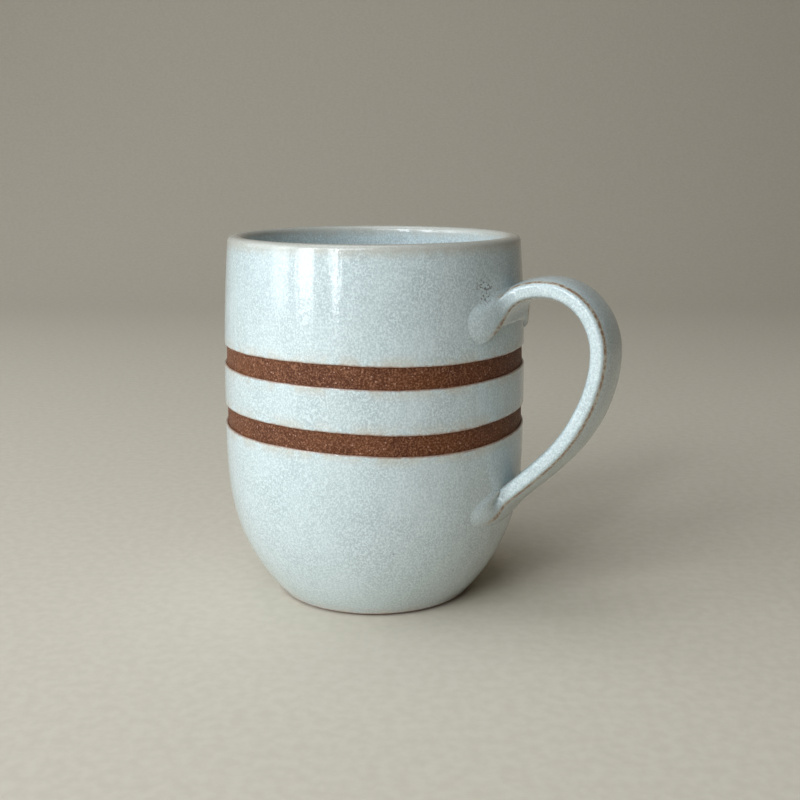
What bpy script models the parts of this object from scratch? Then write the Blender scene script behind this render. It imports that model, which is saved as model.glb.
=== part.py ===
"""A wheel-thrown stoneware mug with a pulled strap handle, glazed in bands.

Metres, +Z up. The origin is the centre of the flat foot, and the handle points along +X.
The clay pieces are the thrown body, the handle, and the two coils of soft clay that are
smoothed around the handle's ends. The glaze coats lie over them as thin shells: a liner that
rolls over the rim, and three outer bands with bare clay between them.
"""

import math

import bmesh
import bpy

# Overall form, measured over the glaze
height = 0.100
belly_radius = 0.0418
belly_height = 0.048
rim_radius = 0.0399
foot_radius = 0.0262

# Clay body
wall = 0.0038
rim_wall = 0.0024
floor_thickness = 0.0065
floor_radius = 0.0200
foot_bevel = 0.0006

# Glaze coats
glaze = 0.0005
clearance = 0.0003
liner_lap = 0.0032
bare_foot = 0.0012
stripe_width = 0.0053
upper_stripe = 0.0682
lower_stripe = 0.0515

# Handle: a strap whose mid line lies in the XZ plane, measured over its glaze
strap_width = 0.0165
strap_thickness = 0.0054
strap_squareness = 2.6
upper_root_height = 0.0852
lower_root_height = 0.0303
finger_room = 0.0214
handle_top = 0.0907
upper_root_swell = 1.30
lower_root_swell = 1.20
root_overlap = 0.0042

# Coils of soft clay around the handle's ends, each an egg centred on the wall
coil_out = 0.0055
coil_side = 0.0058
upper_coil_rise = 0.0088
lower_coil_rise = 0.0078
upper_coil_drop = 0.0030

# Facets
round_steps = 48
profile_rows = 13
rim_rows = 6
strap_points = 14
strap_rows = 6

# Worked out from the sizes above
skin = clearance + glaze
clay_top = height - skin
rim_roll = rim_wall / 2
rim_centre = clay_top - rim_roll
handle_reach = belly_radius + finger_room + strap_thickness

clay_red = (0.135, 0.040, 0.020, 1.0)
glaze_pale = (0.520, 0.560, 0.550, 1.0)


def clear_scene():
    for thing in list(bpy.data.objects):
        bpy.data.objects.remove(thing)


def new_collection(name, hidden=False):
    group = bpy.data.collections.new(name)
    group.hide_render = hidden
    bpy.context.scene.collection.children.link(group)
    return group


def material(name, colour, roughness):
    made = bpy.data.materials.new(name)
    made.use_nodes = True
    shader = made.node_tree.nodes["Principled BSDF"]
    shader.inputs["Base Color"].default_value = colour
    shader.inputs["Roughness"].default_value = roughness
    shader.inputs["Metallic"].default_value = 0.0
    made.diffuse_color = colour
    return made


def finish(thing, group, colour=None, roughness=0.5):
    """Puts an object in its collection, with a material of its own unless it is a cutter."""
    for holder in list(thing.users_collection):
        holder.objects.unlink(thing)
    group.objects.link(thing)
    if colour is None:
        thing.hide_render = True
        thing.display_type = "WIRE"
    else:
        thing.data.materials.clear()
        thing.data.materials.append(material(thing.name, colour, roughness))
        for face in thing.data.polygons:
            face.use_smooth = True
    return thing


# ---- turned shapes ----------------------------------------------------------------------------


def outer_radius(z):
    """The mug's outside over the glaze: a bowl below the belly, drawing in a little to the rim."""
    if z < belly_height:
        share = ((belly_height - z) / belly_height) ** 3
        return belly_radius - (belly_radius - foot_radius) * share
    share = ((z - belly_height) / (height - belly_height)) ** 2.5
    return belly_radius - (belly_radius - rim_radius) * share


def clay_radius(z):
    return outer_radius(z) - skin


def inner_radius(z):
    """The clay's inside: a wall that thins to the rim, and rounds down to the flat floor."""
    if z > belly_height:
        share = (z - belly_height) / (rim_centre - belly_height)
        return clay_radius(z) - wall + (wall - rim_wall) * share
    widest = clay_radius(belly_height) - wall
    share = ((belly_height - z) / (belly_height - floor_thickness)) ** 3
    return widest - (widest - floor_radius) * share


def stripe_edges(middle):
    return middle + stripe_width / 2, middle - stripe_width / 2


def wall_heights(top, bottom):
    """Heights down the outside, the same rows for the clay and for every glaze coat on it."""
    step = rim_centre / profile_rows
    rows = [rim_centre - i * step for i in range(profile_rows)]
    rows += [edge for stripe in (upper_stripe, lower_stripe) for edge in stripe_edges(stripe)]
    rows += [height - liner_lap, bare_foot]
    inside = sorted((z for z in rows if bottom < z < top), reverse=True)
    kept = [top]
    for z in inside:
        if kept[-1] - z > step / 4 and z - bottom > step / 4:
            kept.append(z)
    return kept + [bottom]


def outside_line(top, bottom):
    return [(clay_radius(z), z) for z in wall_heights(top, bottom)]


def rim_line():
    """A half turn from the inside, over the top of the lip, to the outside."""
    centre = clay_radius(rim_centre) - rim_roll
    turns = [math.pi * (1 - i / rim_rows) for i in range(rim_rows + 1)]
    return [(centre + rim_roll * math.cos(a), rim_centre + rim_roll * math.sin(a)) for a in turns]


def inside_line():
    """From the middle of the floor out and up to the foot of the rim's roll."""
    rise = rim_centre - floor_thickness
    rows = [floor_thickness + rise * (i / profile_rows) ** 1.4 for i in range(profile_rows)]
    return [(0.0, floor_thickness)] + [(inner_radius(z), z) for z in rows]


def beside(line, gap):
    """The same line moved sideways by gap, to the left of its direction of travel."""
    moved = []
    for i, (r, z) in enumerate(line):
        before, after = line[max(i - 1, 0)], line[min(i + 1, len(line) - 1)]
        dr, dz = after[0] - before[0], after[1] - before[1]
        length = math.hypot(dr, dz)
        moved.append((0.0 if r == 0.0 else r - gap * dz / length, z + gap * dr / length))
    return moved


def turn(name, line, closed):
    """Turns a profile of (radius, height) points round the Z axis."""
    count = len(line)
    edges = [(i, i + 1) for i in range(count - 1)] + ([(count - 1, 0)] if closed else [])
    mesh = bpy.data.meshes.new(name)
    mesh.from_pydata([(r, 0.0, z) for r, z in line], edges, [])
    thing = bpy.data.objects.new(name, mesh)
    screw = thing.modifiers.new("turn", "SCREW")
    screw.steps = screw.render_steps = round_steps
    screw.use_merge_vertices = True
    screw.merge_threshold = 0.00001
    screw.use_smooth_shade = True
    return thing


def clay_outline(foot_gap=0.0):
    """The thrown body: inside, rim, outside, bevelled foot and flat base."""
    outside = outside_line(rim_centre, bare_foot)
    foot = clay_radius(0.0)
    base = [(foot, foot_bevel), (foot - foot_bevel, foot_gap), (0.0, foot_gap)]
    return inside_line() + rim_line()[:-1] + outside + base


def glaze_band(name, top, bottom):
    line = outside_line(top, bottom)
    return turn(name, beside(line, skin) + beside(line, clearance)[::-1], True)


def liner_shell(name):
    line = inside_line() + rim_line()[:-1] + outside_line(rim_centre, height - liner_lap)
    return turn(name, beside(line, skin) + beside(line, clearance)[::-1], False)


def body_space():
    """The body and a clearance round it, solid through, to cut what seats against the wall."""
    line = rim_line()[rim_rows // 2:-1] + outside_line(rim_centre, bare_foot)
    line = beside(line, clearance)
    return turn("body_space", [(0.0, line[0][1])] + line + [(0.0, line[-1][1])], False)


# ---- the strap --------------------------------------------------------------------------------


def strap_route():
    """Mid line of the strap in the XZ plane: (point, handle before, handle after, swell)."""
    half = strap_thickness / 2
    top, reach = handle_top - half, handle_reach - half
    upper_wall = clay_radius(upper_root_height)
    lower_wall = clay_radius(lower_root_height)
    crest = upper_wall + 0.42 * (reach - upper_wall)
    shoulder = lower_root_height + 0.71 * (top - lower_root_height)
    elbow_height = lower_root_height + 0.235 * (top - lower_root_height)
    elbow = (lower_wall + 0.55 * (reach - lower_wall), elbow_height)
    start = (upper_wall - root_overlap, upper_root_height - root_overlap)
    end = (lower_wall - root_overlap, lower_root_height - 0.9 * root_overlap)
    slope = (0.23 * (shoulder - elbow_height), 0.25 * (shoulder - elbow_height))
    lead = 0.26 * (crest - start[0])
    before_crest, after_crest = crest - 1.8 * lead, crest + 0.56 * (reach - crest)
    before_reach = shoulder + 0.55 * (top - shoulder)
    after_reach = shoulder - 0.37 * (shoulder - elbow_height)
    before_elbow = (elbow[0] + slope[0], elbow[1] + slope[1])
    after_elbow = (elbow[0] - slope[0], elbow[1] - slope[1])
    return [
        (start, start, (start[0] + lead, start[1] + 0.9 * lead), upper_root_swell),
        ((crest, top), (before_crest, top), (after_crest, top), 1.0),
        ((reach, shoulder), (reach, before_reach), (reach, after_reach), 1.0),
        (elbow, before_elbow, after_elbow, 1.0),
        (end, (end[0] + slope[0], end[1] + 0.9 * slope[1]), end, lower_root_swell),
    ]


def strap_section(name, grow):
    """The strap's clay cross-section, a flat oval with squared ends, grown evenly by grow."""
    curve = bpy.data.curves.new(name, "CURVE")
    curve.dimensions = "2D"
    spline = curve.splines.new("POLY")
    spline.points.add(strap_points - 1)
    power = 2 / strap_squareness
    for i, point in enumerate(spline.points):
        turn_angle = 2 * math.pi * (i + 0.5) / strap_points
        across, through = math.cos(turn_angle), math.sin(turn_angle)
        across = math.copysign(abs(across) ** power, across) * (strap_thickness / 2 - skin + grow)
        through = math.copysign(abs(through) ** power, through) * (strap_width / 2 - skin + grow)
        point.co = (across, through, 0.0, 1.0)
    spline.use_cyclic_u = True
    section = bpy.data.objects.new(name, curve)
    bpy.context.scene.collection.objects.link(section)
    return section


def strap(name, grow, capped):
    """Sweeps the section along the route and returns the result as a mesh object."""
    section = strap_section(name + "_section", grow)
    curve = bpy.data.curves.new(name + "_route", "CURVE")
    curve.dimensions = "3D"
    curve.resolution_u = strap_rows
    curve.bevel_mode = "OBJECT"
    curve.bevel_object = section
    curve.use_fill_caps = capped
    route = strap_route()
    spline = curve.splines.new("BEZIER")
    spline.bezier_points.add(len(route) - 1)
    for point, (place, before, after, swell) in zip(spline.bezier_points, route):
        point.handle_left_type = point.handle_right_type = "FREE"
        point.co = (place[0], place[1], 0.0)
        point.handle_left = (before[0], before[1], 0.0)
        point.handle_right = (after[0], after[1], 0.0)
        point.radius = swell
    guide = bpy.data.objects.new(name + "_route", curve)
    guide.rotation_euler = (math.pi / 2, 0.0, 0.0)
    bpy.context.scene.collection.objects.link(guide)
    bpy.context.view_layer.update()
    graph = bpy.context.evaluated_depsgraph_get()
    mesh = bpy.data.meshes.new_from_object(guide.evaluated_get(graph))
    made = bpy.data.objects.new(name, mesh)
    made.matrix_world = guide.matrix_world.copy()
    weld(mesh)
    bpy.data.objects.remove(guide)
    bpy.data.objects.remove(section)
    return made


def weld(mesh):
    """Joins the loose end caps of a swept curve to its sides and points its faces outward."""
    shape = bmesh.new()
    shape.from_mesh(mesh)
    bmesh.ops.remove_doubles(shape, verts=shape.verts, dist=0.000001)
    bmesh.ops.recalc_face_normals(shape, faces=shape.faces)
    shape.to_mesh(mesh)
    shape.free()


# ---- the coils of soft clay at the roots ------------------------------------------------------


def coil(name, centre_height, swell, rise, grow):
    """An egg of soft clay centred on the wall, wider than the swollen end of the strap."""
    bpy.ops.mesh.primitive_uv_sphere_add(segments=24, ring_count=12, radius=1.0)
    egg = bpy.context.object
    egg.name = egg.data.name = name
    place = (clay_radius(centre_height), 0.0, centre_height)
    half_sizes = (coil_out, strap_width / 2 * swell + coil_side, rise)
    for vertex in egg.data.vertices:
        vertex.co = [p + v * (half + grow) for p, v, half in zip(place, vertex.co, half_sizes)]
    return egg


def cut(thing, *cutters):
    for cutter in cutters:
        modifier = thing.modifiers.new("cut by " + cutter.name, "BOOLEAN")
        modifier.operation = "DIFFERENCE"
        modifier.solver = "EXACT"
        modifier.object = cutter


def main():
    clear_scene()
    mug = new_collection("mug")
    cutters = new_collection("cutters", hidden=True)

    upper_top, upper_bottom = stripe_edges(upper_stripe)
    lower_top, lower_bottom = stripe_edges(lower_stripe)
    liner_edge = height - liner_lap

    wall_cutter = finish(body_space(), cutters)
    strap_cutter = finish(strap("strap_space", clearance, True), cutters)
    coat_cutter = finish(strap("coated_strap_space", skin + clearance, True), cutters)
    coils = {
        "upper": (upper_root_height - upper_coil_drop, upper_root_swell, upper_coil_rise),
        "lower": (lower_root_height, lower_root_swell, lower_coil_rise),
    }
    coil_cutters = {}
    for end, sizes in coils.items():
        coil_cutters[end] = finish(coil(end + "_joint_space", *sizes, clearance), cutters)

    finish(turn("mug_body", clay_outline(), False), mug, clay_red, 0.8)
    finish(liner_shell("liner_glaze"), mug, glaze_pale, 0.15)

    upper_band = glaze_band("upper_glaze_band", liner_edge - clearance, upper_top)
    middle_band = glaze_band("middle_glaze_band", upper_bottom, lower_top)
    lower_band = glaze_band("lower_glaze_band", lower_bottom, bare_foot)
    for band in (upper_band, middle_band, lower_band):
        finish(band, mug, glaze_pale, 0.15)
    cut(upper_band, coil_cutters["upper"], coat_cutter)
    cut(lower_band, coil_cutters["lower"], coat_cutter)

    handle = finish(strap("handle", 0.0, True), mug, clay_red, 0.8)
    cut(handle, wall_cutter)

    handle_coat = finish(strap("handle_glaze", clearance, False), mug, glaze_pale, 0.15)
    coat = handle_coat.modifiers.new("coat", "SOLIDIFY")
    coat.thickness = glaze
    coat.offset = 1.0
    coat.use_even_offset = True
    cut(handle_coat, wall_cutter, coil_cutters["upper"], coil_cutters["lower"])

    for end, sizes in coils.items():
        egg = finish(coil(end + "_handle_joint", *sizes, 0.0), mug, glaze_pale, 0.2)
        cut(egg, wall_cutter, strap_cutter)


main()
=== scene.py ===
# %% [markdown]
# # A hand-thrown stoneware mug
#
# The real mug is thrown on a wheel from a red, iron-bearing stoneware clay. Its handle is a pulled
# strap, stuck on with coils of soft clay. It is dipped in a pale glaze, and two bands are left bare.
# Here the solid model gives the main sizes and places. The script makes the surface that the eye meets:
# glaze that rounds over its edges, gritty clay between them, and a handle that grows out of the wall.

# %% Load the solid model
import math

import bpy
import numpy as np
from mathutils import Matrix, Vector
from mathutils.geometry import interpolate_bezier


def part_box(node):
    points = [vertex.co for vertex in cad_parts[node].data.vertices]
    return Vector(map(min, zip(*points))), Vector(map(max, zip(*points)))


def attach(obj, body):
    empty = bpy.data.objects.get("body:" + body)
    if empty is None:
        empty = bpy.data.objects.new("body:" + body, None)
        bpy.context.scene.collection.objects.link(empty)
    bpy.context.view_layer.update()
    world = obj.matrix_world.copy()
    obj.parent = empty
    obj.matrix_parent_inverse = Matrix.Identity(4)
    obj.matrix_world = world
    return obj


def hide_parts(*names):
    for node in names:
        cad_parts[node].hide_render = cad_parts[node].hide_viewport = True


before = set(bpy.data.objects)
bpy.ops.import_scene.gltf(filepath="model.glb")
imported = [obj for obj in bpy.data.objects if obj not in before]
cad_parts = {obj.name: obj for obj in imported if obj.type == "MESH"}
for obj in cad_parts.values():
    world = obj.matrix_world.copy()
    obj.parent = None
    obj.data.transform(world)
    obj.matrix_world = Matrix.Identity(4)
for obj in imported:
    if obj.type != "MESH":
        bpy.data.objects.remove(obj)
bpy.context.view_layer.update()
MM = 0.001

# %% [markdown]
# The mug is a turned shape, so a few sizes say it all: its height, its widest radius and where that
# is, its rim and its foot. The height, the widest radius and the bare stripes are read from the solid
# model, so the looks follow them if it changes; the belly's height, the rim and the foot are given here.

# %% Read the mug's sizes from the solid model
def points_of(node):
    """The corners of an object, or of the node with this name, as an array in metres."""
    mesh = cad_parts[node].data if isinstance(node, str) else node.data
    flat = np.empty(len(mesh.vertices) * 3, np.float32)
    mesh.vertices.foreach_get("co", flat)
    return flat.reshape(-1, 3)


def widest(node):
    """The largest radius that a turned node reaches, measured from the Z axis."""
    corners = points_of(node)
    return float(np.hypot(corners[:, 0], corners[:, 1]).max())


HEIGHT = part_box("liner_glaze")[1].z
BELLY_RADIUS = widest("middle_glaze_band")
BELLY_HEIGHT = 48.0 * MM
RIM_RADIUS = 39.9 * MM
FOOT_RADIUS = 26.2 * MM
UPPER_STRIPE = (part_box("middle_glaze_band")[1].z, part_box("upper_glaze_band")[0].z)
LOWER_STRIPE = (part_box("lower_glaze_band")[1].z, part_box("middle_glaze_band")[0].z)
BARE_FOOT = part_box("lower_glaze_band")[0].z
GLAZE_BACK = 0.62 * MM
print("height, mm:", round(HEIGHT / MM, 2), "belly radius, mm:", round(BELLY_RADIUS / MM, 2))
print("bare stripes, mm:", [[round(z / MM, 1) for z in s] for s in (UPPER_STRIPE, LOWER_STRIPE)])


def outer_radius(z):
    """The outside of the mug over its glaze: a bowl below the belly, drawing in to the rim."""
    z = np.asarray(z, float)
    bowl = np.clip((BELLY_HEIGHT - z) / BELLY_HEIGHT, 0, 1) ** 3
    neck = np.clip((z - BELLY_HEIGHT) / (HEIGHT - BELLY_HEIGHT), 0, 1) ** 2.5
    return BELLY_RADIUS - (BELLY_RADIUS - FOOT_RADIUS) * bowl - (BELLY_RADIUS - RIM_RADIUS) * neck


# %% [markdown]
# Set up the camera before any modelling. The mug is seen from a little above its rim, from close by,
# with the handle swung a quarter of a right angle towards the viewer.

# %% Camera
CAMERA_SWING = math.radians(25.0)
CAMERA_ASIDE = 7.0 * MM
CAMERA_DISTANCE = 320.0 * MM
CAMERA_HEIGHT = 121.4 * MM
CAMERA_TILT = math.radians(11.96)
CAMERA_LENS = 52.33


def swung(x, y, z=0.0):
    """A place given as the viewer sees it (x right, y away), turned into the mug's own frame."""
    c, s = math.cos(CAMERA_SWING), math.sin(CAMERA_SWING)
    return Vector((c * x - s * y, s * x + c * y, z))


camera_data = bpy.data.cameras.new("camera")
camera_data.lens = CAMERA_LENS
camera_data.sensor_width = 36.0
camera_data.clip_start = 0.01
camera = bpy.data.objects.new("camera", camera_data)
camera.location = swung(CAMERA_ASIDE, -CAMERA_DISTANCE, CAMERA_HEIGHT)
camera.rotation_euler = (math.pi / 2 - CAMERA_TILT, 0.0, CAMERA_SWING)
bpy.context.scene.collection.objects.link(camera)
bpy.context.scene.camera = camera
print("camera at, mm:", [round(v / MM, 1) for v in camera.location])

# %% [markdown]
# Materials come next. Colours are written as sRGB hex, as a colour picker shows them, and turned to
# the linear values that Blender's sockets take. Pattern sizes are written in millimetres.

# %% Helpers for materials
def linear(hex_colour):
    """An sRGB hex colour as the linear RGBA that a socket takes."""
    channels = [int(hex_colour[i:i + 2], 16) / 255 for i in (1, 3, 5)]
    return [c / 12.92 if c <= 0.04045 else ((c + 0.055) / 1.055) ** 2.4 for c in channels] + [1.0]


def per_size(millimetres):
    """The scale that makes a texture's features about this size, on coordinates in metres."""
    return 1.0 / (millimetres * MM)


def add(tree, kind, links=None, **settings):
    """Adds a node. links gives its inputs, by name or number: a value, or a socket to link from."""
    made = tree.nodes.new(kind)
    for name, value in settings.items():
        setattr(made, name, value)
    for name, value in (links or {}).items():
        if isinstance(value, bpy.types.NodeSocket):
            tree.links.new(value, made.inputs[name])
        else:
            made.inputs[name].default_value = value
    return made


def blend_colours(tree, share, first, second, mode="MIX"):
    """Mixes two colours, each a hex string or a socket, by share. Returns the colour socket."""
    first, second = [linear(c) if isinstance(c, str) else c for c in (first, second)]
    mix = add(tree, "ShaderNodeMix", {0: share, 6: first, 7: second}, data_type="RGBA", blend_type=mode)
    return mix.outputs[2]


def ramp(tree, value, low, high, to_low=0.0, to_high=1.0, smooth=True):
    """Remaps value from low..high to to_low..to_high, clamped."""
    style = "SMOOTHSTEP" if smooth else "LINEAR"
    links = {"Value": value, "From Min": low, "From Max": high, "To Min": to_low, "To Max": to_high}
    return add(tree, "ShaderNodeMapRange", links, interpolation_type=style).outputs[0]


def maths(tree, operation, first, second=0.0):
    return add(tree, "ShaderNodeMath", {0: first, 1: second}, operation=operation).outputs[0]


def noise(tree, place, size_mm, detail=2.0, roughness=0.5):
    links = {"Vector": place, "Scale": per_size(size_mm), "Detail": detail, "Roughness": roughness}
    return add(tree, "ShaderNodeTexNoise", links).outputs[0]


def new_material(name):
    made = bpy.data.materials.new(name)
    made.use_nodes = True
    return made, made.node_tree, made.node_tree.nodes["Principled BSDF"]


# %% [markdown]
# The glaze is a glossy, pale blue-grey stoneware glaze. In the kiln it grows fine light crystals in a
# slightly greyer glass, like sugar, and iron from the clay burns through as a few dark specks. Where
# it runs thin over an edge, it turns from pale blue to tan. The glass on top is smooth, so the
# gloss is a clear coat over a softer base. Beside the bare bands the iron stains it: a soft tan cloud a
# few millimetres wide, and a ragged rust line along the very edge. Two attributes on the pieces say
# how near that edge is and where the handle's corners are. A few burst bubbles sit above its root.

# %% Glaze material
ROOT_PITS = (37.0 * MM, -14.2 * MM, 87.6 * MM)


def glaze_material(name, thin_rim=False, worn_corners=False):
    made, tree, shader = new_material(name)
    place = add(tree, "ShaderNodeTexCoord").outputs["Object"]
    stretched = add(tree, "ShaderNodeMapping", {"Vector": place, "Scale": (1.0, 1.0, 0.8)}).outputs[0]
    sugar = noise(tree, stretched, 0.44, 2.0, 0.75)
    clouds = noise(tree, stretched, 12.0, 3.0, 0.6)
    crystals = ramp(tree, sugar, 0.40, 0.64)
    ground = blend_colours(tree, ramp(tree, clouds, 0.32, 0.68), "#AFBCBE", "#BDCACC")
    colour = blend_colours(tree, crystals, ground, "#D7E2E3")
    height_above = add(tree, "ShaderNodeSeparateXYZ", {0: place}).outputs[2]
    patchy = maths(tree, "MULTIPLY", noise(tree, place, 2.6, 4.0, 0.6), 3.4 * MM)
    raised = maths(tree, "ADD", height_above, patchy)
    if thin_rim:
        tan = ramp(tree, raised, HEIGHT - 2.6 * MM, HEIGHT + 1.2 * MM, 0.0, 0.60)
        colour = blend_colours(tree, tan, colour, "#B7AB98")
    if worn_corners:
        corner = add(tree, "ShaderNodeAttribute", attribute_name="corner").outputs["Fac"]
        halo = maths(tree, "MULTIPLY", ramp(tree, corner, 0.20, 0.95), 0.60)
        colour = blend_colours(tree, halo, colour, "#C4B193")
        broken = ramp(tree, noise(tree, place, 1.1, 3.0, 0.65), 0.42, 0.56)
        thin = maths(tree, "MULTIPLY", ramp(tree, corner, 0.50, 0.92), broken)
        colour = blend_colours(tree, maths(tree, "MULTIPLY", thin, 0.8), colour, "#86592F")
    near_edge = add(tree, "ShaderNodeAttribute", attribute_name="near_edge").outputs["Fac"]
    patches = ramp(tree, noise(tree, place, 6.0, 4.0, 0.6), 0.35, 0.65)
    stain = maths(tree, "MULTIPLY", ramp(tree, near_edge, 0.35, 1.0), patches)
    colour = blend_colours(tree, maths(tree, "MULTIPLY", stain, 0.50), colour, "#C2B299")
    ragged = maths(tree, "MULTIPLY", noise(tree, place, 0.9, 3.0, 0.6), 0.14)
    rust = ramp(tree, maths(tree, "ADD", near_edge, maths(tree, "SUBTRACT", ragged, 0.07)), 0.90, 0.99)
    colour = blend_colours(tree, maths(tree, "MULTIPLY", rust, 0.75), colour, "#935F3B")
    reach = add(tree, "ShaderNodeVectorMath", {0: place, 1: ROOT_PITS}, operation="DISTANCE")
    from_root = reach.outputs["Value"]
    pits = ramp(tree, noise(tree, place, 0.75, 2.0, 0.5), 0.53, 0.61)
    burst = maths(tree, "MULTIPLY", pits, ramp(tree, from_root, 1.5 * MM, 5.0 * MM, 0.85, 0.0))
    colour = blend_colours(tree, burst, colour, "#4A3222")
    specks = add(tree, "ShaderNodeTexVoronoi", {"Vector": place, "Scale": per_size(10.0)})
    dots = ramp(tree, specks.outputs["Distance"], 0.016, 0.030, 0.75, 0.0)
    colour = blend_colours(tree, dots, colour, "#4A4038")
    tree.links.new(colour, shader.inputs["Base Color"])
    ripple = noise(tree, place, 9.0, 2.0)
    drawn = add(tree, "ShaderNodeMapping", {"Vector": place, "Scale": (1.0, 1.0, 0.14)}).outputs[0]
    runs = maths(tree, "MULTIPLY", noise(tree, drawn, 2.6, 2.0), 0.75)
    peel = maths(tree, "MULTIPLY", noise(tree, place, 0.9, 2.0), 0.26)
    relief = maths(tree, "ADD", ripple, maths(tree, "ADD", runs, peel))
    bump = add(tree, "ShaderNodeBump", {"Height": relief, "Strength": 0.35, "Distance": 0.35 * MM})
    tree.links.new(bump.outputs[0], shader.inputs["Normal"])
    tree.links.new(bump.outputs[0], shader.inputs["Coat Normal"])
    shader.inputs["Roughness"].default_value = 0.42
    shader.inputs["IOR"].default_value = 1.5
    shader.inputs["Coat Weight"].default_value = 1.0
    shader.inputs["Coat Roughness"].default_value = 0.12
    shader.inputs["Coat IOR"].default_value = 1.5
    return made


# %% [markdown]
# Between the bands the clay is bare: a red-brown stoneware with fine grog. Fired without glaze it is
# quite matt, and its grit catches the light through its bumps. Fine pale pinkish points are also painted
# into its colour: partly light grog, partly painted glints of grit catching the light.

# %% Bare clay material
def clay_material(name):
    made, tree, shader = new_material(name)
    place = add(tree, "ShaderNodeTexCoord").outputs["Object"]
    grit = noise(tree, place, 0.5, 3.0, 0.7)
    clouds = noise(tree, place, 9.0, 2.0)
    ground = blend_colours(tree, ramp(tree, clouds, 0.3, 0.7), "#532813", "#623417")
    colour = blend_colours(tree, ramp(tree, grit, 0.45, 0.68), ground, "#9A6B50")
    colour = blend_colours(tree, ramp(tree, grit, 0.42, 0.28), colour, "#3A1C0F")
    # Pale pink points painted into the base colour: partly light grog specks, partly painted glints.
    cells = add(tree, "ShaderNodeTexVoronoi", {"Vector": place, "Scale": per_size(1.5)})
    specks_and_glints = ramp(tree, cells.outputs["Distance"], 0.10, 0.16, 0.8, 0.0)
    colour = blend_colours(tree, specks_and_glints, colour, "#BE9684")
    tree.links.new(colour, shader.inputs["Base Color"])
    bump = add(tree, "ShaderNodeBump", {"Height": grit, "Strength": 0.8, "Distance": 0.42 * MM})
    tree.links.new(bump.outputs[0], shader.inputs["Normal"])
    shader.inputs["Roughness"].default_value = 0.52
    shader.inputs["Specular Tint"].default_value = linear("#FFE2D4")
    shader.inputs["IOR"].default_value = 1.42
    return made


GLAZE = glaze_material("stoneware glaze, dipped")
RIM_GLAZE = glaze_material("stoneware glaze, thin at the rim", thin_rim=True)
STRAP_GLAZE = glaze_material("stoneware glaze, broken on the handle's edges", worn_corners=True)
CLAY = clay_material("red stoneware clay, unglazed")
print("materials:", [m.name for m in (GLAZE, RIM_GLAZE, STRAP_GLAZE, CLAY)])

# %% [markdown]
# Thrown pieces are turned round the Z axis, as on the wheel. A circle primitive gives a closed loop of
# points. The loop is laid on the piece's outline and then spun round the axis, its seam is merged, and
# its normals are made to point outwards.

# %% Turn an outline round the axis
TURN_STEPS = 288


def deselect():
    if bpy.context.mode != "OBJECT":
        bpy.ops.object.mode_set(mode="OBJECT")
    bpy.ops.object.select_all(action="DESELECT")


def smooth_line(points, spacing):
    """Fills a line of (radius, height) points with more of them, evenly spaced along it."""
    points = np.asarray(points, float)
    steps = np.hypot(*np.diff(points, axis=0).T)
    along = np.concatenate([[0.0], np.cumsum(steps)])
    wanted = np.linspace(0.0, along[-1], max(2, int(round(along[-1] / spacing)) + 1))
    return np.stack([np.interp(wanted, along, points[:, i]) for i in (0, 1)], axis=1)


def turn(name, outline):
    """Spins a closed outline of (radius, height) points all the way round the Z axis."""
    deselect()
    bpy.ops.mesh.primitive_circle_add(vertices=len(outline), radius=1.0)
    piece = bpy.context.object
    piece.name = piece.data.name = name
    flat = np.zeros((len(outline), 3), np.float32)
    flat[:, 0], flat[:, 2] = outline[:, 0], outline[:, 1]
    piece.data.vertices.foreach_set("co", flat.ravel())
    bpy.ops.object.mode_set(mode="EDIT")
    bpy.ops.mesh.select_all(action="SELECT")
    bpy.ops.mesh.spin(steps=TURN_STEPS, angle=2 * math.pi, center=(0, 0, 0), axis=(0, 0, 1))
    bpy.ops.mesh.select_all(action="SELECT")
    bpy.ops.mesh.remove_doubles(threshold=0.001 * MM)
    bpy.ops.mesh.normals_make_consistent(inside=False)
    bpy.ops.object.mode_set(mode="OBJECT")
    bpy.ops.object.shade_smooth_by_angle(angle=math.radians(50))
    print(name, "has", len(piece.data.polygons), "faces")
    return piece


# %% [markdown]
# No thrown mug is perfectly round. A slow wobble and faint throwing rings are added to the outline of
# every turned piece from the same formula, so that the glaze still follows the clay. The stripes were
# banded by hand on the wheel, so their edges waver by a few tenths of a millimetre.

# %% The hand's unevenness
def angle_of(points):
    return np.arctan2(points[:, 1], points[:, 0])


def hand_wobble(angle, z):
    """How far the wall stands in from the true turned shape, 0 to about 0.35 mm."""
    oval = 0.10 * (1 + np.sin(2 * angle + 0.6 + 12.0 * z))
    swing = 0.05 * (1 + np.sin(3 * angle - 1.1 + 35.0 * z))
    rings = 0.004 * (1 + np.sin(z / (3.1 * MM) * 2 * math.pi + angle))
    return (oval + swing + rings) * MM * np.clip(z / (12.0 * MM), 0, 1)


def waver(angle, phase, size):
    """A smooth, repeating unevenness round the mug, made of a few slow and quick waves."""
    waves = ((2, 1.0), (3, 0.6), (7, 0.35), (13, 0.30), (23, 0.28), (41, 0.22), (67, 0.16))
    total = sum(share * np.sin(n * angle + phase * (n + 1.7)) for n, share in waves)
    return size * total / sum(share for _, share in waves)


def reshape(piece, change):
    """Gives a piece's corners to change(points) and puts back what it returns."""
    moved = change(points_of(piece).astype(float))
    piece.data.vertices.foreach_set("co", moved.astype(np.float32).ravel())
    piece.data.update()


def uneven(points):
    """Pulls points towards the axis by the hand's wobble."""
    radius = np.hypot(points[:, 0], points[:, 1])
    pull = hand_wobble(angle_of(points), points[:, 2]) / np.maximum(radius, MM)
    keep = np.where(radius > 1.0 * MM, 1 - pull, 1.0)
    points[:, 0] *= keep
    points[:, 1] *= keep
    return points


def dress(piece, slot, material, *nodes):
    """Gives a finished piece its material and its place in the frame."""
    piece.data.materials.clear()
    piece.data.materials.append(material)
    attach(piece, "root")
    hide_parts(*nodes)
    return piece


# %% [markdown]
# The clay body is one thrown pot: a flat base, a rounded bowl, a nearly straight wall and a rolled
# lip. Only the bare stripes, the foot line and the base of it are seen, but it is made whole.

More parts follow.
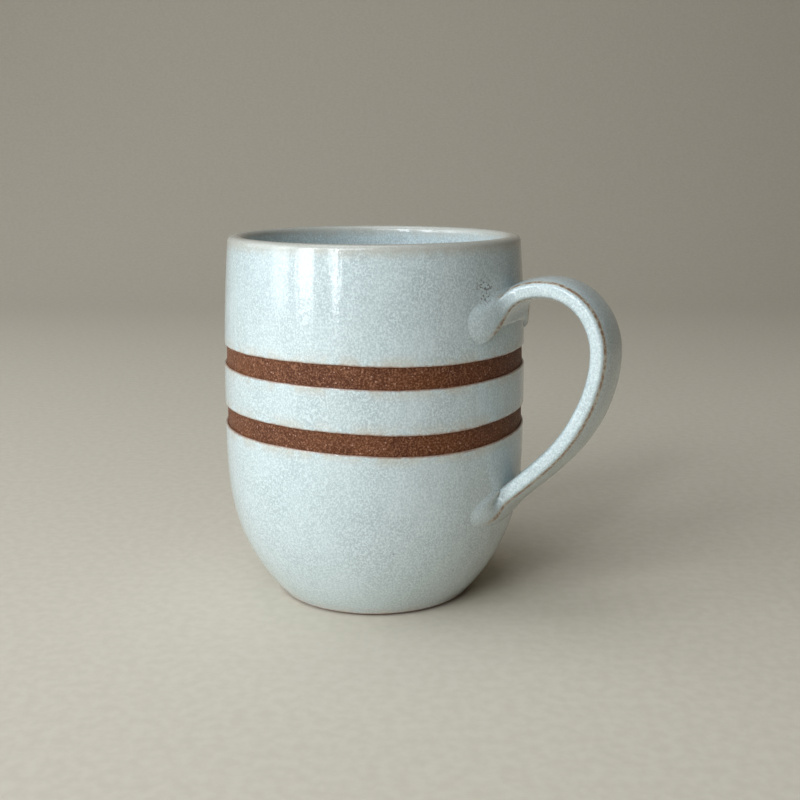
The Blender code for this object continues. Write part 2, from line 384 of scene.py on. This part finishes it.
# %% Clay body
WALL = 3.8 * MM
RIM_WALL = 2.4 * MM
FLOOR_THICKNESS = 6.5 * MM
FLOOR_RADIUS = 20.0 * MM
FOOT_ROUND = 0.6 * MM
LIP_ROUND = 1.3 * MM
CLAY_BACK = 0.8 * MM


def inner_radius(z, coat):
    """The inside of the mug, over a coat of this thickness."""
    z = np.asarray(z, float)
    floor = FLOOR_THICKNESS + coat
    belly = outer_radius(BELLY_HEIGHT) - CLAY_BACK - WALL - coat
    bowl = belly - (belly - FLOOR_RADIUS) * np.clip((BELLY_HEIGHT - z) / (BELLY_HEIGHT - floor), 0, 1) ** 3
    thinning = (WALL - RIM_WALL) * np.clip((z - BELLY_HEIGHT) / (HEIGHT - BELLY_HEIGHT), 0, 1)
    return np.where(z > BELLY_HEIGHT, outer_radius(z) - CLAY_BACK - WALL + thinning - coat, bowl)


def arc(centre, radius, start, end, count):
    """Points along an arc, from start to end in degrees, without its last point."""
    turns = np.radians(np.linspace(start, end, count, endpoint=False))
    return np.stack([centre[0] + radius * np.cos(turns), centre[1] + radius * np.sin(turns)], axis=1)


def wall_line(top, bottom, back, count=80):
    """The outside from top to bottom, set back from the glaze's face."""
    z = np.linspace(top, bottom, count)
    return np.stack([outer_radius(z) - back, z], axis=1)


def bowl_line(top, coat, count=70):
    """The inside, from the middle of the floor up to top."""
    floor = FLOOR_THICKNESS + coat
    z = floor + (top - floor) * np.linspace(0, 1, count) ** 1.6
    flat = np.stack([np.linspace(0, FLOOR_RADIUS, 12, endpoint=False), np.full(12, floor)], axis=1)
    return np.concatenate([flat, np.stack([inner_radius(z, coat), z], axis=1)])


LIP_SQUARENESS = 0.8


def lip(coat_inside, coat_outside, count=20):
    """The rolled lip, from the inside over the top to the outside, and the height it springs from."""
    spring = HEIGHT - GLAZE_BACK - LIP_ROUND
    inside = float(inner_radius(spring, coat_inside))
    outside = float(outer_radius(spring)) - coat_outside
    middle, half = (inside + outside) / 2, (outside - inside) / 2
    rise = LIP_ROUND + GLAZE_BACK - coat_outside
    turns = np.linspace(math.pi, 0, count)
    across = np.sign(np.cos(turns)) * np.abs(np.cos(turns)) ** LIP_SQUARENESS
    up = np.sin(turns) ** LIP_SQUARENESS
    return np.stack([middle + half * across, spring + rise * up], axis=1), spring


lip_line, spring = lip(0.0, GLAZE_BACK)
foot_edge = float(outer_radius(0.0)) - GLAZE_BACK - FOOT_ROUND
outline = np.concatenate([
    bowl_line(spring, 0.0)[:-1],
    lip_line[:-1],
    wall_line(spring, FOOT_ROUND, GLAZE_BACK, 150)[:-1],
    arc((foot_edge, FOOT_ROUND), FOOT_ROUND, 0, -90, 5),
    [[foot_edge, 0.0], [foot_edge * 0.6, 0.0], [foot_edge * 0.3, 0.0], [0.0, 0.0]],
])
clay_body = turn("clay_body", outline)
reshape(clay_body, uneven)
dress(clay_body, "bare_clay", CLAY, "mug_body")

# %% [markdown]
# Each outer glaze coat is a shell about half a millimetre thick. Molten glaze pulls itself into a
# rounded bead where it stops, so each band's edge is turned over in a half circle. The edges are then
# shifted up and down by the waver of the banding.

# %% Outer glaze bands
SAG_ANGLE = math.radians(-40.0)
SAG_WIDTH = math.radians(36.0)


def band_outline(top, bottom, beaded_top, spacing=0.5 * MM):
    """A glaze band's section: outside down, a rounded edge, its back up, and its top edge."""
    half = GLAZE_BACK / 2
    face_top = top - half if beaded_top else top
    face = wall_line(face_top, bottom + half, 0.0, int((top - bottom) / spacing))
    back = wall_line(bottom + half, face_top, GLAZE_BACK, max(6, len(face) // 3))
    low = arc((face[-1][0] - half, bottom + half), half, 0, -180, 7)
    high = arc((face[0][0] - half, face_top), half, 180, 0, 7) if beaded_top else back[-1:]
    return np.concatenate([face[:-1], low, back[:-1], high])


def shift_edges(top, bottom, top_wave, bottom_wave):
    """Moves a band's two edges up and down by their own waves, fading out across the band."""
    def change(points):
        share = np.clip((points[:, 2] - bottom) / (top - bottom), 0, 1)
        angle = angle_of(points)
        old = outer_radius(points[:, 2])
        points[:, 2] += share ** 2 * top_wave(angle) + (1 - share) ** 2 * bottom_wave(angle)
        radius = np.hypot(points[:, 0], points[:, 1])
        grow = (radius + outer_radius(points[:, 2]) - old) / radius
        points[:, 0] *= grow
        points[:, 1] *= grow
        return uneven(points)
    return change


def stripe_wave(phase, size=0.22 * MM, sag=0.0, lift=0.0):
    """A band edge's height above true: its waver, with one stretch that sags below the rest."""
    def wave(angle):
        off = (angle - SAG_ANGLE + math.pi) % (2 * math.pi) - math.pi
        return waver(angle, phase, size) + lift - sag * np.exp(-(off / SAG_WIDTH) ** 2)
    return wave


def still(angle):
    return 0.0 * angle


LAP = 3.2 * MM
bands = [
    ("upper_band_glaze", "upper_glaze_band", HEIGHT - LAP, UPPER_STRIPE[1], RIM_GLAZE,
     still, stripe_wave(1.3, sag=0.75 * MM)),
    ("middle_band_glaze", "middle_glaze_band", UPPER_STRIPE[0], LOWER_STRIPE[1], GLAZE,
     stripe_wave(2.1, sag=1.1 * MM), stripe_wave(0.4, sag=1.5 * MM, lift=0.2 * MM)),
    ("lower_band_glaze", "lower_glaze_band", LOWER_STRIPE[0], BARE_FOOT, GLAZE,
     stripe_wave(3.7, sag=1.5 * MM, lift=0.2 * MM), stripe_wave(5.2, 0.15 * MM)),
]
for name, node, top, bottom, finish_material, top_wave, bottom_wave in bands:
    band = turn(name, band_outline(top, bottom, beaded_top=top_wave is not still))
    heights = points_of(band)[:, 2]
    from_edge = heights - bottom if top_wave is still else np.minimum(heights - bottom, top - heights)
    closeness = band.data.attributes.new("near_edge", "FLOAT", "POINT")
    closeness.data.foreach_set("value", np.clip(1 - from_edge / (6 * MM), 0, 1).astype(np.float32))
    reshape(band, shift_edges(top, bottom, top_wave, bottom_wave))
    dress(band, "pale_glaze", finish_material, node)

# %% [markdown]
# The liner coats the inside and rolls over the lip to meet the upper band. Both were poured from the
# same bucket, so the seam between them melted together and can't be seen.

# %% Liner glaze
liner_face, spring = lip(GLAZE_BACK, 0.0)
liner_back, _ = lip(0.0, GLAZE_BACK)
outline = np.concatenate([
    bowl_line(spring, GLAZE_BACK)[:-1],
    liner_face[:-1],
    wall_line(spring, HEIGHT - LAP, 0.0, 6),
    wall_line(HEIGHT - LAP, spring, GLAZE_BACK, 6)[:-1],
    liner_back[::-1][:-1],
    bowl_line(spring, 0.0)[::-1],
])
liner = turn("liner_glaze_coat", outline)
reshape(liner, uneven)
dress(liner, "pale_glaze", RIM_GLAZE, "liner_glaze")

# %% [markdown]
# The handle is a pulled strap: a rope of clay drawn out between wet fingers until it is flat, with a
# crowned back, a squared edge and a nearly flat inside. It hangs from the wall in one easy curve. The
# curve here is the one the solid handle has. A bezier gives it, with five points chosen for its
# crest, its outermost reach, the elbow below and the two roots.

# %% The strap's mid line
STRAP_WIDTH = 16.5 * MM
STRAP_THICKNESS = 5.4 * MM
strap_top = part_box("handle_glaze")[1].z
strap_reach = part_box("handle_glaze")[1].x
UPPER_ROOT = 85.2 * MM
LOWER_ROOT = 30.3 * MM


def strap_route():
    """Bezier points of the strap's mid line in the XZ plane: (point, handle before, handle after)."""
    half = STRAP_THICKNESS / 2
    top, reach = strap_top - half, strap_reach - half
    upper_wall = float(outer_radius(UPPER_ROOT)) - CLAY_BACK
    lower_wall = float(outer_radius(LOWER_ROOT)) - CLAY_BACK
    overlap = 4.2 * MM
    crest = upper_wall + 0.42 * (reach - upper_wall)
    shoulder = LOWER_ROOT + 0.71 * (top - LOWER_ROOT)
    elbow_z = LOWER_ROOT + 0.235 * (top - LOWER_ROOT)
    elbow_x = lower_wall + 0.55 * (reach - lower_wall)
    start = (upper_wall - overlap, UPPER_ROOT - overlap)
    end = (lower_wall - overlap, LOWER_ROOT - 0.9 * overlap)
    run, fall = 0.23 * (shoulder - elbow_z), 0.25 * (shoulder - elbow_z)
    lead = 0.26 * (crest - start[0])
    return [
        (start, start, (start[0] + lead, start[1] + 0.9 * lead)),
        ((crest, top), (crest - 1.8 * lead, top), (crest + 0.56 * (reach - crest), top)),
        ((reach, shoulder), (reach, shoulder + 0.55 * (top - shoulder)),
         (reach, shoulder - 0.37 * (shoulder - elbow_z))),
        ((elbow_x, elbow_z), (elbow_x + run, elbow_z + fall), (elbow_x - run, elbow_z - fall)),
        (end, (end[0] + run, end[1] + 0.9 * fall), end),
    ]


def route_points(count):
    """Evenly spaced (x, z) points along the mid line, from the upper root to the lower."""
    route = strap_route()
    dense = []
    for (here, _, after), (there, before, _) in zip(route, route[1:]):
        flat = [Vector((x, 0, z)) for x, z in (here, after, before, there)]
        dense += interpolate_bezier(*flat, 60)[:-1]
    dense.append(Vector((route[-1][0][0], 0, route[-1][0][1])))
    return smooth_line([(p.x, p.z) for p in dense], 1e-9 + 0.25 * MM) if count is None else dense


route = route_points(None)
print("strap mid line, mm:", round(len(route) * 0.25, 1), "long")

# %% [markdown]
# A grid primitive is rolled into a tube and bent into the strap, and its seam is merged. Its rings are
# laid across the mid line, each one flat with squared edges and a crowned back. Near each root the
# rings open out like the bell of a trumpet, until the last one lies on the wall. This is the soft clay
# coil, smoothed with a thumb so that the handle seems to grow out of the mug.

# %% Handle with its smoothed roots
STRAP_RINGS = 220
FLARE_RINGS = 44
STRAP_SIDES = 112
REACH = points_of("handle_glaze")[:, 0].max() - 0.02 * MM
EDGE_SQUARENESS = 0.40
OUTER_CROWN, INNER_CROWN = 0.30, 0.12
STRAP_TWIST = 6.0
UPPER_LEAVE, LOWER_LEAVE = 0.110, 0.912


def strap_section(count, width, thickness):
    """Offsets (out of the loop, across) of a strap's section: crowned back, squared edges."""
    turns = 2 * math.pi * np.arange(count) / count
    out, across = np.cos(turns), np.sin(turns)
    edge = np.sign(across) * np.abs(across) ** EDGE_SQUARENESS
    back = np.sign(out) * np.abs(out) ** EDGE_SQUARENESS
    crown = 1 - np.where(out > 0, OUTER_CROWN, INNER_CROWN) * edge ** 2
    return np.stack([back * crown * thickness / 2, edge * width / 2], axis=1)


def along_route(share):
    """Place, direction and outward normal of the mid line at shares of its length."""
    spot = np.asarray(share) * (len(route) - 1)
    index = np.arange(len(route))
    place = np.stack([np.interp(spot, index, route[:, i]) for i in (0, 1)], axis=-1)
    slope = np.gradient(route, axis=0)
    direction = np.stack([np.interp(spot, index, slope[:, i]) for i in (0, 1)], axis=-1)
    direction /= np.linalg.norm(direction, axis=-1, keepdims=True)
    return place, direction, np.stack([-direction[..., 1], direction[..., 0]], axis=-1)


def strap_ring(share, back):
    """One ring of the strap, set back from its glaze, and its direction of travel."""
    place, direction, normal = along_route(share)
    swell = 1 + 0.16 * max(0.0, 1 - share / 0.16) ** 2 + 0.10 * max(0.0, (share - 0.84) / 0.16) ** 2
    section = strap_section(STRAP_SIDES, STRAP_WIDTH * swell - 2 * back, STRAP_THICKNESS * swell - 2 * back)
    lean = math.radians(STRAP_TWIST * min(1.0, max(0.0, (share - 0.3) / 0.3)))
    out = section[:, 0] * math.cos(lean) - section[:, 1] * math.sin(lean)
    across = section[:, 0] * math.sin(lean) + section[:, 1] * math.cos(lean)
    ring = np.empty((STRAP_SIDES, 3))
    ring[:, 0] = place[0] + out * normal[0]
    ring[:, 1] = -across
    ring[:, 2] = place[1] + out * normal[1]
    return ring, np.array([direction[0], 0.0, direction[1]])


def wall_point(y, z, sunk):
    """The point of the mug's glazed wall at this y and z on the handle's side."""
    radius = outer_radius(z) - hand_wobble(np.arctan2(y, outer_radius(z)), z) - sunk
    return np.stack([np.sqrt(np.maximum(radius ** 2 - y ** 2, 0)), y, z], axis=-1)


# %% The roots' outlines on the wall
class Root:
    """The outline that a root's clay covers on the wall, corner for corner with a strap ring."""

    def __init__(self, centre, half_width, above, below, out_is_up):
        turns = 2 * math.pi * np.arange(STRAP_SIDES) / STRAP_SIDES
        side, up = -np.sin(turns), np.cos(turns) * out_is_up
        wide = half_width * (1 - 0.42 * np.clip(up, 0, 1))
        self.y = wide * np.sign(side) * np.abs(side) ** 0.62
        self.rise = np.where(up > 0, above, below) * np.sign(up) * np.abs(up) ** 0.62
        inner = np.cos(turns) < 0
        self.rise *= np.where(inner, 0.35 + 0.65 * np.clip(2 * side ** 2, 0, 1), 1.0)
        self.centre = centre
        spread = np.hypot(self.y, self.rise)
        self.share = spread / spread.max()

    def on_wall(self, size, sunk):
        """The outline drawn in towards its middle, laid on the wall or sunk into it."""
        return wall_point(self.y * size, self.centre + self.rise * size, sunk)

    def flare(self, ring, heading, pull, stand, back):
        """Rings from the strap to the wall, each corner's path curving until it lies on the wall."""
        path = [ring, ring + heading * pull, self.on_wall(0.70, back - stand * self.share),
                self.on_wall(0.86, back - 0.25 * MM), self.on_wall(1.0, back + 0.10 * MM)]
        rings = []
        for share in np.linspace(0, 1, FLARE_RINGS + 1)[1:]:
            weights = [math.comb(4, k) * share ** k * (1 - share) ** (4 - k) for k in range(5)]
            rings.append(sum(weight * stop for weight, stop in zip(weights, path)))
        return rings


# %% Bend the tube, clay first and then its glaze
upper_root = Root(81.2 * MM, 21.0 * MM, 7.0 * MM, 8.8 * MM, 1)
lower_root = Root(30.2 * MM, 19.0 * MM, 6.4 * MM, 5.8 * MM, -1)


def strap_rings(back):
    """All the rings of the handle, from the print of its upper root to that of its lower root."""
    first, first_way = strap_ring(UPPER_LEAVE, back)
    last, last_way = strap_ring(LOWER_LEAVE, back)
    top_flare = upper_root.flare(first, -first_way, 6.5 * MM, 4.2 * MM, back)
    foot_flare = lower_root.flare(last, last_way, 5.0 * MM, 3.8 * MM, back)
    shares = np.linspace(UPPER_LEAVE, LOWER_LEAVE, STRAP_RINGS)
    middle = [strap_ring(share, back)[0] for share in shares]
    rings = np.array(top_flare[::-1] + middle + foot_flare)
    rings[:, :, 0] = np.minimum(rings[:, :, 0], REACH - back)
    return rings


def bent_tube(name, back):
    """A tube primitive, cut into rings and bent into the strap."""
    rings = strap_rings(back)
    deselect()
    bpy.ops.mesh.primitive_grid_add(x_subdivisions=STRAP_SIDES, y_subdivisions=len(rings) - 1, size=1.0)
    tube = bpy.context.object
    tube.name = tube.data.name = name
    flat = points_of(tube)
    column = np.rint((flat[:, 0] + 0.5) * STRAP_SIDES).astype(int) % STRAP_SIDES
    row = np.rint((flat[:, 1] + 0.5) * (len(rings) - 1)).astype(int)
    reshape(tube, lambda points: rings[row, column])
    around = 2 * math.pi * column / STRAP_SIDES
    corner = np.exp(-((np.abs(np.cos(around)) - np.abs(np.sin(around))) / 0.38) ** 2)
    from_ends = np.minimum(row, len(rings) - 1 - row) / (len(rings) - 1)
    near_roots = np.clip(1.6 - 5.0 * from_ends, 0.15, 1)
    corner *= np.where(np.cos(around) > 0, 1.0, near_roots)
    corner *= np.clip(np.minimum(row, len(rings) - 1 - row) / (0.5 * FLARE_RINGS), 0, 1)
    worn = tube.data.attributes.new("corner", "FLOAT", "POINT")
    worn.data.foreach_set("value", corner.astype(np.float32))
    return tube


def close_and_point_out(tube):
    bpy.ops.object.mode_set(mode="EDIT")
    bpy.ops.mesh.select_all(action="SELECT")
    bpy.ops.mesh.remove_doubles(threshold=0.0005 * MM)
    bpy.ops.mesh.fill_holes(sides=0)
    bpy.ops.mesh.select_all(action="SELECT")
    bpy.ops.mesh.normals_make_consistent(inside=False)
    bpy.ops.object.mode_set(mode="OBJECT")
    bpy.ops.object.shade_smooth_by_angle(angle=math.radians(60))
    print(tube.name, "has", len(tube.data.polygons), "faces")


handle_clay = bent_tube("handle_clay", 0.6 * MM)
close_and_point_out(handle_clay)
dress(handle_clay, "bare_clay", CLAY, "handle")
handle_coat = bent_tube("handle_glaze_coat", 0.0)
close_and_point_out(handle_coat)
dress(handle_coat, "handle_glaze", STRAP_GLAZE, "handle_glaze", "upper_handle_joint", "lower_handle_joint")

# %% [markdown]
# The floor and backdrop are one pale sheet that curves up behind the mug, as in a product studio. A
# window of three tall panes stands on the left, and each pane leaves a bright streak down the glaze.
# Broad, weak lamps beside it, in front and above stand for the sky, and light the shaded side a little.

# %% Floor and backdrop
deselect()
bpy.ops.mesh.primitive_plane_add(size=4.0)
sweep = bpy.context.object
sweep.name = "studio_sweep"
bpy.ops.object.mode_set(mode="EDIT")
bpy.ops.mesh.select_all(action="DESELECT")
bpy.ops.object.mode_set(mode="OBJECT")
for edge in sweep.data.edges:
    edge.select = all(sweep.data.vertices[i].co.y > 0 for i in edge.vertices)
bpy.ops.object.mode_set(mode="EDIT")
bpy.ops.mesh.select_mode(type="EDGE")
bpy.ops.mesh.extrude_edges_move(TRANSFORM_OT_translate={"value": (0, 0, 3.0)})
bpy.ops.object.mode_set(mode="OBJECT")
corner = sweep.modifiers.new("corner", "BEVEL")
corner.width = 0.8
corner.segments = 24
corner.limit_method = "ANGLE"
sweep.rotation_euler = (0, 0, CAMERA_SWING)
sweep.location = swung(0, -0.6, 0)
bpy.ops.object.shade_smooth()
paper, paper_tree, paper_shader = new_material("matt studio paper")
place = add(paper_tree, "ShaderNodeTexCoord").outputs["Object"]
fibre = noise(paper_tree, place, 3.0, 3.0)
paper_colour = blend_colours(paper_tree, ramp(paper_tree, fibre, 0.3, 0.7), "#D3C9B8", "#D9CFBF")
paper_tree.links.new(paper_colour, paper_shader.inputs["Base Color"])
paper_shader.inputs["Roughness"].default_value = 0.9
sweep.data.materials.append(paper)

# %% Lights
def soft_light(name, place, aim, width, height, watts, colour):
    data = bpy.data.lights.new(name, "AREA")
    data.shape = "RECTANGLE"
    data.size, data.size_y = width, height
    data.energy = watts
    data.color = linear(colour)[:3]
    light = bpy.data.objects.new(name, data)
    light.location = place
    light.rotation_euler = (Vector(aim) - place).to_track_quat("-Z", "Y").to_euler()
    bpy.context.scene.collection.objects.link(light)
    return light


middle = Vector((0, 0, 0.05))
soft_light("window far left", swung(-0.95, -0.31, 0.38), middle, 0.26, 0.72, 2.6, "#EAF5FC")
soft_light("window left", swung(-0.77, -0.64, 0.38), middle, 0.24, 0.70, 4.6, "#EDF6FC")
soft_light("window middle", swung(-0.45, -0.89, 0.38), middle, 0.11, 0.66, 3.0, "#EDF6FC")
soft_light("side sky", swung(-1.1, 0.10, 0.55), middle, 0.8, 0.9, 2.8, "#EAF5FC")
soft_light("front sky", swung(-0.35, -0.95, 0.85), middle, 0.7, 0.5, 4.6, "#EAF5FC")
soft_light("top sky", swung(-0.15, 0.05, 1.15), middle, 0.7, 0.7, 3.2, "#EDF4F8")
world = bpy.data.worlds.new("studio")
world.use_nodes = True
world.node_tree.nodes["Background"].inputs["Color"].default_value = linear("#D3C3AC")
world.node_tree.nodes["Background"].inputs["Strength"].default_value = 0.11
bpy.context.scene.world = world
bpy.context.scene.view_settings.view_transform = "Standard"
